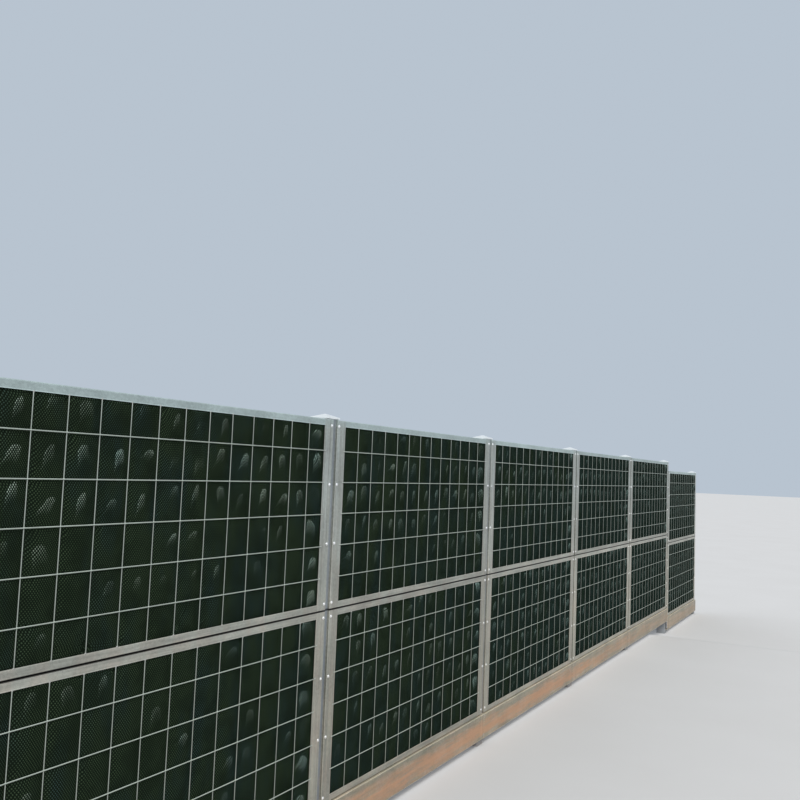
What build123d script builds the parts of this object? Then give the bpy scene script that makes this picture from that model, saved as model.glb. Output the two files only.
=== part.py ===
from build123d import *

import os

# Noise barrier section: six whole bays of a post and panel barrier, the last one stepped down.
#
# Square hollow posts stand in a row, each with a low pyramid cap. Every bay holds two stacked
# cassettes: a folded galvanised frame whose wide side flanges stand on the posts' front faces, a
# wool core wrapped in dark net, and a welded wire grid in front of the core and another behind it.
# A folded steel plinth closes the foot of each bay, just clear of the ground.
#
# X runs along the barrier, -Y is the front that the flanges and plinths are on, Z is up.
# The origin is the centre of the middle post's foot. All sizes are in millimetres.

# The row of bays
BAYS = 6
LEVEL_BAYS = 5
BAY_PITCH = 1960.0
STEP_DOWN = 105.0
ORIGIN_POST = 3

# Posts: square hollow section with a closed foot
POST_SIDE = 100.0
POST_WALL = 5.0
POST_CORNER_RADIUS = 9.0
FOOT_PLATE = 10.0

# Post caps
CAP_OVERHANG = 2.0
CAP_RIM = 8.0
CAP_RISE = 17.0
CAP_TIP = 8.0
CAP_PLUG_DEPTH = 18.0
CAP_PLUG_CLEARANCE = 0.5

# Heights above the ground of a bay, and how far a post stands above its cassettes
GROUND_GAP = 45.0
PLINTH_HEIGHT = 155.0
SEAM_GAP = 5.0
PANEL_HEIGHT = 900.0
PANELS_PER_BAY = 2
POST_ABOVE_PANEL = 4.0

# Cassette frame, folded from sheet; the front flange stands off the posts on its turned-back lips
FLANGE_SIDE_GAP = 38.0
SIDE_FLANGE_WIDTH = 72.0
RAIL_HEIGHT = 30.0
FLANGE_DEPTH = 12.0
FRAME_SHEET = 3.0
FOLD_RADIUS = 2.0
WEB_POST_CLEARANCE = 5.0
CASSETTE_DEPTH = 102.0
REAR_FLANGE_WIDTH = 30.0

# Welded wire grids: the cross wires lap onto the side flanges, the uprights stand between the rails
WIRE = 4.0
WELD_SINK = 0.8
UPRIGHT_WIRES = 12
UPRIGHT_PITCH = 138.0
CROSS_WIRES = 5
CROSS_PITCH = 150.0
CROSS_WIRE_LAP = 12.0

# Wool core
CORE_SIDE_CLEARANCE = 0.5

# Plinth: a sheet folded into a shallow tray, open at the back
PLINTH_SHEET = 3.0
PLINTH_DEPTH = 23.0
PLINTH_END_GAP = 3.0

# Threaded holes in the end posts for the next bay's cassettes
SCREW_HOLE_RADIUS = 4.0
SCREW_FROM_POST_CENTRE = 32.5
SCREW_FROM_PANEL_EDGE = 30.0
SCREWS_PER_FLANGE = 4

# Worked out from the values above
POST_FRONT_Y = -POST_SIDE / 2
FLANGE_FRONT_Y = POST_FRONT_Y - FLANGE_DEPTH
CASSETTE_REAR_Y = FLANGE_FRONT_Y + CASSETTE_DEPTH
PANEL_WIDTH = BAY_PITCH - FLANGE_SIDE_GAP
CASSETTE_WIDTH = BAY_PITCH - POST_SIDE - 2 * WEB_POST_CLEARANCE
CASSETTE_INNER_WIDTH = CASSETTE_WIDTH - 2 * FRAME_SHEET
CASSETTE_INNER_HEIGHT = PANEL_HEIGHT - 2 * FRAME_SHEET
FRONT_OPENING_WIDTH = PANEL_WIDTH - 2 * SIDE_FLANGE_WIDTH
OPENING_HEIGHT = PANEL_HEIGHT - 2 * RAIL_HEIGHT
REAR_OPENING_WIDTH = CASSETTE_WIDTH - 2 * REAR_FLANGE_WIDTH
GRID_REACH_BEHIND_FACE = WIRE - WELD_SINK
LOWER_PANEL_Z = GROUND_GAP + PLINTH_HEIGHT + SEAM_GAP
PANEL_STACK_PITCH = PANEL_HEIGHT + SEAM_GAP
TOP_PANEL_Z = LOWER_PANEL_Z + PANELS_PER_BAY * PANEL_STACK_PITCH - SEAM_GAP
POST_TOP_Z = TOP_PANEL_Z + POST_ABOVE_PANEL
SCREW_PITCH = (PANEL_HEIGHT - 2 * SCREW_FROM_PANEL_EDGE) / (SCREWS_PER_FLANGE - 1)


def block(width, depth, height, x=0.0, y=0.0, z=0.0):
    """A box centred on x, with its front at y and its underside at z."""
    return Pos(x, y + depth / 2, z + height / 2) * Box(width, depth, height)


def ring(outer_width, outer_height, inner_width, inner_height, depth, y):
    """A rectangular picture frame, centred on X and Z, with its front at y."""
    outer = Pos(0, y + depth / 2, 0) * Box(outer_width, depth, outer_height)
    return outer - Pos(0, y + depth / 2, 0) * Box(inner_width, depth, inner_height)


def post_x(index):
    """Where post number index stands, counted from 0 at the left end."""
    return (index - ORIGIN_POST) * BAY_PITCH


def bay_x(bay):
    """The middle of a bay, counted from 0 at the left end."""
    return (post_x(bay) + post_x(bay + 1)) / 2


def bay_ground(bay):
    """The ground level of a bay: the bays after the step stand lower."""
    return 0.0 if bay < LEVEL_BAYS else -STEP_DOWN


def post_ground(index):
    """A post runs down to the lower of the two bays beside it."""
    return min(bay_ground(b) for b in (index - 1, index) if 0 <= b < BAYS)


def post_top(index):
    """A post stands just above the higher of the two bays beside it."""
    return POST_TOP_Z + max(bay_ground(b) for b in (index - 1, index) if 0 <= b < BAYS)


def screw_holes(side, ground):
    """One column of holes through a post's front wall for the cassettes of a bay to come."""
    holes = []
    for panel in range(PANELS_PER_BAY):
        base = ground + LOWER_PANEL_Z + panel * PANEL_STACK_PITCH + SCREW_FROM_PANEL_EDGE
        for screw in range(SCREWS_PER_FLANGE):
            place = Pos(
                side * SCREW_FROM_POST_CENTRE,
                POST_FRONT_Y + POST_WALL / 2,
                base + screw * SCREW_PITCH,
            )
            holes.append(place * Rot(90, 0, 0) * Cylinder(SCREW_HOLE_RADIUS, 2 * POST_WALL))
    return holes


def make_post(index):
    """A square hollow section, closed at its foot; the two end posts have the spare screw holes."""
    low, high = post_ground(index), post_top(index)
    bore_side = POST_SIDE - 2 * POST_WALL
    outside = extrude(RectangleRounded(POST_SIDE, POST_SIDE, POST_CORNER_RADIUS), high - low)
    bore = extrude(
        RectangleRounded(bore_side, bore_side, POST_CORNER_RADIUS - POST_WALL),
        high - low - FOOT_PLATE,
    )
    post = Pos(0, 0, low) * outside - Pos(0, 0, low + FOOT_PLATE) * bore
    if index == 0:
        post = post - screw_holes(-1, bay_ground(0))
    if index == BAYS:
        post = post - screw_holes(1, bay_ground(BAYS - 1))
    return Pos(post_x(index), 0, 0) * post


def make_cap():
    """A low pyramid with an upright rim, and a plug that drops into the post's bore."""
    rim_side = POST_SIDE + 2 * CAP_OVERHANG
    plug_side = POST_SIDE - 2 * POST_WALL - 2 * CAP_PLUG_CLEARANCE
    plug_radius = POST_CORNER_RADIUS - POST_WALL
    rim = block(rim_side, rim_side, CAP_RIM, y=-rim_side / 2)
    base = Pos(0, 0, CAP_RIM) * Rectangle(rim_side, rim_side)
    tip = Pos(0, 0, CAP_RIM + CAP_RISE) * Rectangle(CAP_TIP, CAP_TIP)
    pyramid = loft([base, tip])
    plug = Pos(0, 0, -CAP_PLUG_DEPTH) * extrude(
        RectangleRounded(plug_side, plug_side, plug_radius), CAP_PLUG_DEPTH
    )
    return rim + pyramid + plug


def is_on_outline(edge):
    """Whether an edge of a frame's front face is on its outside and not round its opening."""
    centre = edge.center()
    beyond_side = abs(centre.X) > (PANEL_WIDTH - SIDE_FLANGE_WIDTH) / 2
    beyond_rail = abs(centre.Z) > (PANEL_HEIGHT - RAIL_HEIGHT) / 2
    return beyond_side or beyond_rail


def make_frame():
    """One cassette frame, centred on X and Z: front flange, turned-back lips, webs, rear flange."""
    front = ring(
        PANEL_WIDTH, PANEL_HEIGHT, FRONT_OPENING_WIDTH, OPENING_HEIGHT, FRAME_SHEET, FLANGE_FRONT_Y
    )
    lips = ring(
        PANEL_WIDTH,
        PANEL_HEIGHT,
        PANEL_WIDTH - 2 * FRAME_SHEET,
        CASSETTE_INNER_HEIGHT,
        FLANGE_DEPTH,
        FLANGE_FRONT_Y,
    )
    webs = ring(
        CASSETTE_WIDTH,
        PANEL_HEIGHT,
        CASSETTE_INNER_WIDTH,
        CASSETTE_INNER_HEIGHT,
        CASSETTE_DEPTH,
        FLANGE_FRONT_Y,
    )
    rear = ring(
        CASSETTE_WIDTH,
        PANEL_HEIGHT,
        REAR_OPENING_WIDTH,
        OPENING_HEIGHT,
        FRAME_SHEET,
        CASSETTE_REAR_Y - FRAME_SHEET,
    )
    frame = front + lips + webs + rear
    front_edges = frame.edges().group_by(Axis.Y)[0]
    return fillet(front_edges.filter_by(is_on_outline), FOLD_RADIUS)


def make_grid(opening_width, face_y, outward):
    """One welded grid: cross wires on the flange's outer face, uprights just inside them.

    outward is -1 for the grid on the front flange and 1 for the one on the rear flange.
    """
    cross_y = face_y + outward * WIRE / 2
    upright_y = cross_y - outward * (WIRE - WELD_SINK)
    cross_length = opening_width + 2 * CROSS_WIRE_LAP
    wires = []
    for i in range(CROSS_WIRES):
        z = (i - (CROSS_WIRES - 1) / 2) * CROSS_PITCH
        wires.append(Pos(0, cross_y, z) * Box(cross_length, WIRE, WIRE))
    for i in range(UPRIGHT_WIRES):
        x = (i - (UPRIGHT_WIRES - 1) / 2) * UPRIGHT_PITCH
        wires.append(Pos(x, upright_y, 0) * Box(WIRE, WIRE, OPENING_HEIGHT))
    return wires[0].fuse(*wires[1:])


def make_core():
    """The netted wool slab between the two grids, resting on the cassette's lower web."""
    front_y = FLANGE_FRONT_Y + GRID_REACH_BEHIND_FACE
    rear_y = CASSETTE_REAR_Y - GRID_REACH_BEHIND_FACE
    width = CASSETTE_INNER_WIDTH - 2 * CORE_SIDE_CLEARANCE
    height = CASSETTE_INNER_HEIGHT - CORE_SIDE_CLEARANCE
    return block(width, rear_y - front_y, height, y=front_y, z=-CASSETTE_INNER_HEIGHT / 2)


def make_plinth():
    """One tray on the posts' front faces, centred on X, with its underside at Z = 0."""
    length = BAY_PITCH - 2 * PLINTH_END_GAP
    front_y = POST_FRONT_Y - PLINTH_DEPTH
    tray = block(length, PLINTH_DEPTH, PLINTH_HEIGHT, y=front_y)
    hollow = block(
        length,
        PLINTH_DEPTH - PLINTH_SHEET,
        PLINTH_HEIGHT - 2 * PLINTH_SHEET,
        y=front_y + PLINTH_SHEET,
        z=PLINTH_SHEET,
    )
    front_folds = tray.edges().group_by(Axis.Y)[0].filter_by(Axis.X)
    return fillet(front_folds, FOLD_RADIUS) - hollow


def panel_centre_z(bay, panel):
    """The height of a cassette's middle; panel 0 is the lower one."""
    return bay_ground(bay) + LOWER_PANEL_Z + panel * PANEL_STACK_PITCH + PANEL_HEIGHT / 2


def save(name, solids):
    """Writes one node."""
    export_step(Compound(children=list(solids)), os.path.join("parts", name + ".step"))


def single(shape):
    """The one solid of a shape that is one piece."""
    return shape.solids()[0]


def main():
    """Builds every piece once and writes each node where it stands."""
    os.makedirs("parts", exist_ok=True)
    for index in range(BAYS + 1):
        save(f"post_{index + 1}", [single(make_post(index))])

    cap = single(make_cap())
    save("post_caps", [Pos(post_x(i), 0, post_top(i)) * cap for i in range(BAYS + 1)])

    frame = single(make_frame())
    core = single(make_core())
    front_grid = single(make_grid(FRONT_OPENING_WIDTH, FLANGE_FRONT_Y, -1))
    rear_grid = single(make_grid(REAR_OPENING_WIDTH, CASSETTE_REAR_Y, 1))
    plinth = single(make_plinth())
    for bay in range(BAYS):
        grids = []
        for panel, level in enumerate(("lower", "upper")):
            place = Pos(bay_x(bay), 0, panel_centre_z(bay, panel))
            save(f"{level}_frame_{bay + 1}", [place * frame])
            save(f"{level}_core_{bay + 1}", [place * core])
            grids += [place * front_grid, place * rear_grid]
        save(f"wire_grids_{bay + 1}", grids)
        plinth_z = bay_ground(bay) + GROUND_GAP
        save(f"plinth_{bay + 1}", [Pos(bay_x(bay), 0, plinth_z) * plinth])


main()
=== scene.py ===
import logging
import math
from dataclasses import dataclass
from enum import Enum

import bpy
import numpy as np
from mathutils import Matrix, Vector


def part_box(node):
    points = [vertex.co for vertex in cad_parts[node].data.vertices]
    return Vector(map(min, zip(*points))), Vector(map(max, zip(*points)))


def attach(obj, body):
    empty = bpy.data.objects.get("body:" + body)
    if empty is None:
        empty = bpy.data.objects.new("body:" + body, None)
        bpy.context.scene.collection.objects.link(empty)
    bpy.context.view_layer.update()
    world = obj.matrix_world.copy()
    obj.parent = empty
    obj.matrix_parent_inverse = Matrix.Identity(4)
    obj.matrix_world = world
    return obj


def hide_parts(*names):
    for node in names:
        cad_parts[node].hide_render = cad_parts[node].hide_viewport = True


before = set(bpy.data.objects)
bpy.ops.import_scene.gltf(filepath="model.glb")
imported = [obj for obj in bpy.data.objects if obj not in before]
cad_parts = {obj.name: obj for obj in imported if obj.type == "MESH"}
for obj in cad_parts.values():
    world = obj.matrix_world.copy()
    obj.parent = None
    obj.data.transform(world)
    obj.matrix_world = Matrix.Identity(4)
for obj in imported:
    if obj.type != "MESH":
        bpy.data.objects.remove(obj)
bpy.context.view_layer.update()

# Noise barrier section: six bays of galvanised posts and cassettes with net-wrapped wool cores.
#
# Posts, caps, cassette frames and plinths keep their CAD meshes and get weathered zinc finishes with painted
# highlights, shade and reflections.
# The wool cores, the welded wire grids, the weld dabs and the screws are surfaces worked out here.
# X runs along the barrier, -Y is its front, Z is up, and every length is in metres.

LOG = logging.getLogger("noise_barrier")

# A colour, a place or three sizes, and a list of pairs such as a profile's radii and heights.
RGB = tuple[float, float, float]
Triple = tuple[float, float, float]
Pairs = tuple[tuple[float, float], ...]


class Tier(Enum):
    """The two cassettes of a bay, by the node that holds each one's core."""

    LOWER = "lower"
    UPPER = "upper"


class Side(Enum):
    """The two faces of the barrier that carry a wire grid, by the way they look along Y."""

    FRONT = -1.0
    REAR = 1.0


@dataclass(frozen=True)
class Layout:
    """Where posts, bays and cassettes stand.

    Attributes:
        bays: number of bays in the row.
        bays_before_step: bays that stand on the higher ground.
        bay_pitch: distance between post centres.
        step_down: drop of the ground after those bays.
        origin_post: index of the post that stands at x = 0.
        ground_gap: gap under a plinth.
        plinth_height: height of a plinth.
        seam_gap: gap over the plinth and between the cassettes.
        panel_height: height of a cassette.
        opening_width: clear width inside a cassette's front flanges.
        rear_width: clear width inside its rear flanges.
        opening_height: clear height between its rails.
        flange_face: Y of the front face of the flanges.
        plinth_face: Y of the front face of the plinths.
    """

    bays: int = 6
    bays_before_step: int = 5
    bay_pitch: float = 1.960
    step_down: float = 0.105
    origin_post: int = 3
    ground_gap: float = 0.045
    plinth_height: float = 0.155
    seam_gap: float = 0.005
    panel_height: float = 0.900
    opening_width: float = 1.778
    rear_width: float = 1.790
    opening_height: float = 0.840
    flange_face: float = -0.062
    plinth_face: float = -0.073

    def post_x(self, post: int) -> float:
        """Returns the X of a post, counted from 0 at the left end."""
        return (post - self.origin_post) * self.bay_pitch

    def bay_x(self, bay: int) -> float:
        """Returns the X of a bay's middle, counted from 0 at the left end."""
        return self.post_x(bay) + self.bay_pitch / 2

    def ground(self, bay: int) -> float:
        """Returns the Z of the ground under a bay."""
        return -self.step_down if bay >= self.bays_before_step else 0.0

    def post_ground(self, post: int) -> float:
        """Returns the Z of the ground under a post, which is its lower bay's."""
        return self.ground(min(post, self.bays - 1))

    def panel_z(self, bay: int, tier: Tier) -> float:
        """Works out the height of a cassette's middle.

        Args:
            bay: the bay, from 0.
            tier: the lower or the upper cassette.

        Returns:
            Its Z.
        """
        above = 0.0 if tier is Tier.LOWER else self.panel_height + self.seam_gap
        foot = self.ground(bay) + self.ground_gap + self.plinth_height + self.seam_gap
        return foot + above + self.panel_height / 2


LAYOUT = Layout()


def centred(count: int, pitch: float) -> np.ndarray:
    """Returns places at a pitch, centred on 0."""
    return (np.arange(count) - (count - 1) / 2) * pitch


def angles(sides: int) -> np.ndarray:
    """Returns the angles of a ring's points in radians."""
    return np.arange(sides) * 2 * math.pi / sides


def places(x: float | np.ndarray, y: float | np.ndarray, z: float | np.ndarray) -> np.ndarray:
    """Joins coordinates, single ones or rows, to points of shape (..., 3)."""
    return np.stack(np.broadcast_arrays(x, y, z), axis=-1)


class Shells:
    """Collects closed shells of rings and plain grids, and makes one mesh object of them."""

    def __init__(self) -> None:
        """Starts with no points and no faces."""
        self.points: list[np.ndarray] = []
        self.faces: list[list[int]] = []
        self.count = 0

    def add(self, points: np.ndarray, faces: list[list[int]]) -> None:
        """Adds a surface.

        Args:
            points: array of shape (..., 3).
            faces: indices of each face's points, which start at 0 in this array.
        """
        start = self.count
        self.points.append(points.reshape(-1, 3))
        self.faces.extend([[start + i for i in face] for face in faces])
        self.count += len(self.points[-1])

    def add_rings(self, rings: np.ndarray, poles: np.ndarray) -> None:
        """Adds shells, each a row of rings closed by a point at either end.

        Neighbouring rings are joined by quads, and the first and last ring each by a fan of
        triangles to its pole. Rings run anticlockwise round the way from first to last pole.

        Args:
            rings: array of shape (shells, rings, sides, 3).
            poles: array of shape (shells, 2, 3).
        """
        shells, rows, sides, _ = rings.shape
        i = np.arange(rows - 1)[:, None] * sides
        j = np.arange(sides)
        k = (j + 1) % sides
        wall = np.stack([i + j, i + k, i + k + sides, i + j + sides], axis=-1).reshape(-1, 4)
        ends = rows * sides
        last = ends - sides
        first_fan = np.stack([np.full(sides, ends), k, j], axis=-1)
        last_fan = np.stack([np.full(sides, ends + 1), last + j, last + k], axis=-1)
        offset = np.arange(shells)[:, None, None] * (ends + 2)
        faces = []
        for part in (wall, first_fan, last_fan):
            faces += (part[None] + offset).reshape(-1, part.shape[-1]).tolist()
        self.add(np.concatenate([rings.reshape(shells, ends, 3), poles], axis=1), faces)

    def make(self, name: str, material: bpy.types.Material) -> bpy.types.Object:
        """Makes the object at the origin, with its place in its mesh and its faces shaded smooth.

        Args:
            name: name of the piece and of its mesh.
            material: finish of all its faces.

        Returns:
            The new object, linked to the scene.
        """
        mesh = bpy.data.meshes.new(name)
        mesh.from_pydata(np.concatenate(self.points).tolist(), [], self.faces)
        mesh.polygons.foreach_set("use_smooth", np.ones(len(mesh.polygons), bool))
        mesh.materials.append(material)
        mesh.update()
        piece = bpy.data.objects.new(name, mesh)
        bpy.context.scene.collection.objects.link(piece)
        return piece


def rods(starts: np.ndarray, ends: np.ndarray, bow: np.ndarray, radius: float,
         segments: int, sides: int) -> tuple[np.ndarray, np.ndarray]:
    """Works out round wires as rings round slightly bowed straight lines.

    A centre line is start + t (end - start) + bow sin(pi t) + bow / 3 sin(3 pi t), and each ring is
    a circle of the wire's radius square to the straight line. The first and last rings are drawn in,
    which rounds the cut ends.

    Args:
        starts: first ends, shape (wires, 3).
        ends: last ends, shape (wires, 3).
        bow: sideways bow of each wire at its middle, shape (wires, 3).
        radius: radius of the wire.
        segments: number of lengths along a wire.
        sides: number of sides of a ring.

    Returns:
        Rings of shape (wires, segments + 3, sides, 3) and poles of shape (wires, 2, 3).
    """
    drawn_in = 0.55
    along = ends - starts
    length = np.linalg.norm(along, axis=1, keepdims=True)
    tangent = along / length
    across = np.cross(tangent, np.array([0.0, 1.0, 0.0]))
    across /= np.linalg.norm(across, axis=1, keepdims=True)
    normal = np.cross(tangent, across)
    tip = float(radius / length.mean())
    t = np.concatenate([[0.0], np.linspace(tip, 1 - tip, segments + 1), [1.0]])
    thickness = np.concatenate([[drawn_in], np.ones(segments + 1), [drawn_in]])
    wave = np.sin(math.pi * t) + np.sin(3 * math.pi * t) / 3
    centre = starts[:, None] + along[:, None] * t[None, :, None] + bow[:, None] * wave[None, :, None]
    angle = angles(sides)
    circle = (np.cos(angle)[None, :, None] * across[:, None]
              + np.sin(angle)[None, :, None] * normal[:, None]) * radius
    rings = centre[:, :, None] + circle[:, None] * thickness[None, :, None, None]
    return rings, np.stack([starts, ends], axis=1)


def lumps(centres: np.ndarray, radii: np.ndarray, turn: np.ndarray,
          sides: int = 8, rows: int = 3) -> tuple[np.ndarray, np.ndarray]:
    """Works out small weld lumps as ellipsoids with uneven outlines.

    A ring at latitude a about Y has the points centre + (rx cos a cos b, ry sin a, rz cos a sin b),
    and each lump is swollen by a seventh towards its own turn.

    Args:
        centres: centres, shape (lumps, 3).
        radii: half sizes in X, Y and Z, shape (lumps, 3).
        turn: turn of each lump about Y in radians, shape (lumps,).
        sides: number of sides of a ring.
        rows: number of rings between the poles.

    Returns:
        Rings of shape (lumps, rows, sides, 3) and poles of shape (lumps, 2, 3).
    """
    latitude = (np.arange(rows) + 1) / (rows + 1) * math.pi - math.pi / 2
    angle = angles(sides)
    swell = 1 + np.cos(angle[None, :] - turn[:, None]) / 7
    across = np.cos(latitude)[None, :, None] * (np.cos(angle) * swell)[:, None, :]
    up = np.cos(latitude)[None, :, None] * (np.sin(angle) * swell)[:, None, :]
    unit = places(across, np.sin(latitude)[None, :, None], up)
    rings = centres[:, None, None] + unit * radii[:, None, None]
    tip = np.array([0.0, 1.0, 0.0]) * radii
    return rings[:, :, ::-1], np.stack([centres - tip, centres + tip], axis=1)


def turned(centres: np.ndarray, profile: Pairs, sides: int = 14) -> tuple[np.ndarray, np.ndarray]:
    """Works out screw heads and washers, a profile turned about an axis along -Y.

    Each ring of the profile (radius, height) has the points centre + (r cos b, -h, r sin b). The
    profile's last entry has no radius: it is the pole over the last ring, and the other pole closes
    the shell at the first ring's height.

    Args:
        centres: points on the carrying face, shape (heads, 3).
        profile: radius and height of each ring, from the face outwards, and the tip.
        sides: number of sides of a ring.

    Returns:
        Rings of shape (heads, rings, sides, 3) and poles of shape (heads, 2, 3).
    """
    shape = np.array(profile)
    radius, height = shape[:-1, :1], shape[:-1, 1:]
    angle = angles(sides)
    ring = places(radius * np.cos(angle), -height, radius * np.sin(angle))
    poles = [centres - np.array([0.0, level, 0.0]) for level in (shape[0, 1], shape[-1, 1])]
    return centres[:, None, None] + ring[None], np.stack(poles, axis=1)


class Value:
    """A value in a shader tree, whose sums, products and powers are Math nodes."""

    def __init__(self, nodes: "Nodes", socket: bpy.types.NodeSocket) -> None:
        """Holds one output of a node."""
        self.nodes = nodes
        self.socket = socket

    def other(self, name: str) -> "Value":
        """Returns another output of the same node."""
        return Value(self.nodes, self.socket.node.outputs[name])

    def __add__(self, other: object) -> "Value":
        """Returns the sum."""
        return self.nodes.math("ADD", self, other)

    def __sub__(self, other: object) -> "Value":
        """Returns the difference."""
        return self.nodes.math("SUBTRACT", self, other)

    def __rsub__(self, other: object) -> "Value":
        """Returns the difference from a plain number."""
        return self.nodes.math("SUBTRACT", other, self)

    def __mul__(self, other: object) -> "Value":
        """Returns the product."""
        return self.nodes.math("MULTIPLY", self, other)

    def __truediv__(self, other: object) -> "Value":
        """Returns the quotient."""
        return self.nodes.math("DIVIDE", self, other)

    def __pow__(self, other: object) -> "Value":
        """Returns the power."""
        return self.nodes.math("POWER", self, other)

    def __abs__(self) -> "Value":
        """Returns the size without its sign."""
        return self.nodes.math("ABSOLUTE", self)


class Nodes:
    """Builds the nodes of one shader tree with short calls."""

    def __init__(self, tree: bpy.types.NodeTree) -> None:
        """Works on a material's, a world's or a group's node tree."""
        self.tree = tree

    def put(self, socket: bpy.types.NodeSocket, value: object) -> None:
        """Links a value to an input, or writes a plain one on it.

        Args:
            socket: the input.
            value: a Value, a number, a tuple, or None to leave the input as it is.
        """
        if isinstance(value, Value):
            self.tree.links.new(value.socket, socket)
        elif value is not None:
            socket.default_value = (*value, 1.0) if socket.type == "RGBA" else value

    def fill(self, node: bpy.types.Node, **inputs: object) -> None:
        """Fills a node's inputs, whose names have _ for a space."""
        for name, value in inputs.items():
            self.put(node.inputs[name.replace("_", " ")], value)

    def add(self, kind: str, *values: object, out: int | str = 0,
            settings: dict[str, object] | None = None, **inputs: object) -> Value:
        """Adds a node and returns one of its outputs.

        Args:
            kind: the node's type, without ShaderNode before it.
            *values: links or plain values of its first inputs, in order.
            out: the output, by place or name.
            settings: properties of the node, by name.
            **inputs: links or plain values of further inputs, by name with _ for a space.

        Returns:
            The output's value.
        """
        made = self.tree.nodes.new("ShaderNode" + kind)
        for name, setting in (settings or {}).items():
            setattr(made, name, setting)
        for socket, value in zip(made.inputs, values):
            self.put(socket, value)
        self.fill(made, **inputs)
        return Value(self, made.outputs[out])

    def math(self, operation: str, *values: object, clamp: bool = False) -> Value:
        """Returns the outcome of a Math node."""
        return self.add("Math", *values, settings={"operation": operation, "use_clamp": clamp})

    def ease(self, value: Value, low: float, high: float) -> Value:
        """Makes a smooth step.

        Args:
            value: the value that it follows.
            low: where the step is 0.
            high: where it is 1, which may be the lesser of the two.

        Returns:
            The step, from 0 to 1.
        """
        if high < low:
            return 1.0 - self.ease(value, high, low)
        return self.add("MapRange", value, low, high, settings={"interpolation_type": "SMOOTHSTEP"})

    def span(self, share: Value, first: float, last: float) -> Value:
        """Returns the value between two numbers at a share from 0 to 1."""
        return share * (last - first) + first

    def mix(self, share: Value, first: object, second: object) -> Value:
        """Returns the colour between two colours at a share from 0 to 1."""
        skipped = [None] * 5
        return self.add("Mix", share, *skipped, first, second, out=2, settings={"data_type": "RGBA"})

    def stretch(self, vector: Value, scale: Triple) -> Value:
        """Returns the vector with each axis scaled."""
        return self.add("Mapping", vector, Scale=scale)

    def noise(self, vector: Value, scale: float, detail: float = 3.0, roughness: float = 0.55) -> Value:
        """Returns the value of a noise, which varies about 0.5."""
        return self.add("TexNoise", Vector=vector, Scale=scale, Detail=detail, Roughness=roughness)

    def split(self, vector: Value) -> list[Value]:
        """Returns the X, Y and Z of a vector."""
        return [Value(self, output) for output in self.add("SeparateXYZ", vector).socket.node.outputs]

    def draw(self, *numbers: object) -> Value:
        """Returns a draw from 0 to 1 for three numbers; the same node's Color holds three more."""
        return self.add("TexWhiteNoise", Vector=self.add("CombineXYZ", *numbers), out="Value")

    def normal(self) -> Value:
        """Returns the surface's normal."""
        return self.add("NewGeometry", out="Normal")

    def group(self, tree: bpy.types.NodeTree, **inputs: object) -> dict[str, Value]:
        """Places a shared group.

        Args:
            tree: the group.
            **inputs: links or plain values of its inputs, by name with _ for a space.

        Returns:
            Its outputs, by name.
        """
        made = self.tree.nodes.new("ShaderNodeGroup")
        made.node_tree = tree
        self.fill(made, **inputs)
        return {output.name: Value(self, output) for output in made.outputs}


class Surface(Nodes):
    """A new material about its Principled shader."""

    def __init__(self, name: str) -> None:
        """Makes the material, and the Object coordinates that its patterns lie in.

        Args:
            name: name of the material.
        """
        self.material = bpy.data.materials.new(name)
        self.material.use_nodes = True
        super().__init__(self.material.node_tree)
        self.at = self.add("TexCoord", out="Object")

    def shade(self, **inputs: object) -> bpy.types.Material:
        """Fills the shader's inputs and returns the finished material."""
        self.fill(self.tree.nodes["Principled BSDF"], **inputs)
        return self.material


class Effect(Nodes):
    """A shared node group with named inputs and outputs, built once."""

    def __init__(self, name: str, inputs: dict[str, float | None], outputs: tuple[str, ...]) -> None:
        """Makes the group and its sockets.

        Args:
            name: name of the group.
            inputs: default of each input, by name, or None for a vector.
            outputs: names of the outputs, which are all single values.
        """
        super().__init__(bpy.data.node_groups.new(name, "ShaderNodeTree"))
        for label, default in inputs.items():
            kind = "NodeSocketVector" if default is None else "NodeSocketFloat"
            socket = self.tree.interface.new_socket(label, in_out="INPUT", socket_type=kind)
            if default is not None:
                socket.default_value = default
        for label in outputs:
            self.tree.interface.new_socket(label, in_out="OUTPUT", socket_type="NodeSocketFloat")
        given = self.tree.nodes.new("NodeGroupInput").outputs
        self.given = {label: Value(self, given[label]) for label in inputs}

    def done(self, **outputs: Value) -> bpy.types.NodeTree:
        """Links the outputs and returns the finished group."""
        self.fill(self.tree.nodes.new("NodeGroupOutput"), **outputs)
        return self.tree


def mottling_effect() -> bpy.types.NodeTree:
    """Makes the zinc mottling: crystal patches, broad clouds and fine grain.

    Returns:
        A group whose Tone varies about 0 and whose Grain is a rough height.
    """
    cloud_scale, grain_scale, patch_tone, patch_height = 5.0, 420.0, 0.28, 0.25
    n = Effect("zinc mottling", {"Vector": None, "Crystal Scale": 120.0}, ("Tone", "Grain"))
    at = n.given["Vector"]
    patch = n.split(n.add("TexVoronoi", Vector=at, Scale=n.given["Crystal Scale"], out="Color"))[0]
    cloud = n.noise(at, cloud_scale, detail=4.0)
    fine = n.noise(at, grain_scale, detail=2.0)
    return n.done(Tone=(patch - 0.5) * patch_tone + (cloud - 0.5) + (fine - 0.5),
                  Grain=patch * patch_height + fine)


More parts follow.
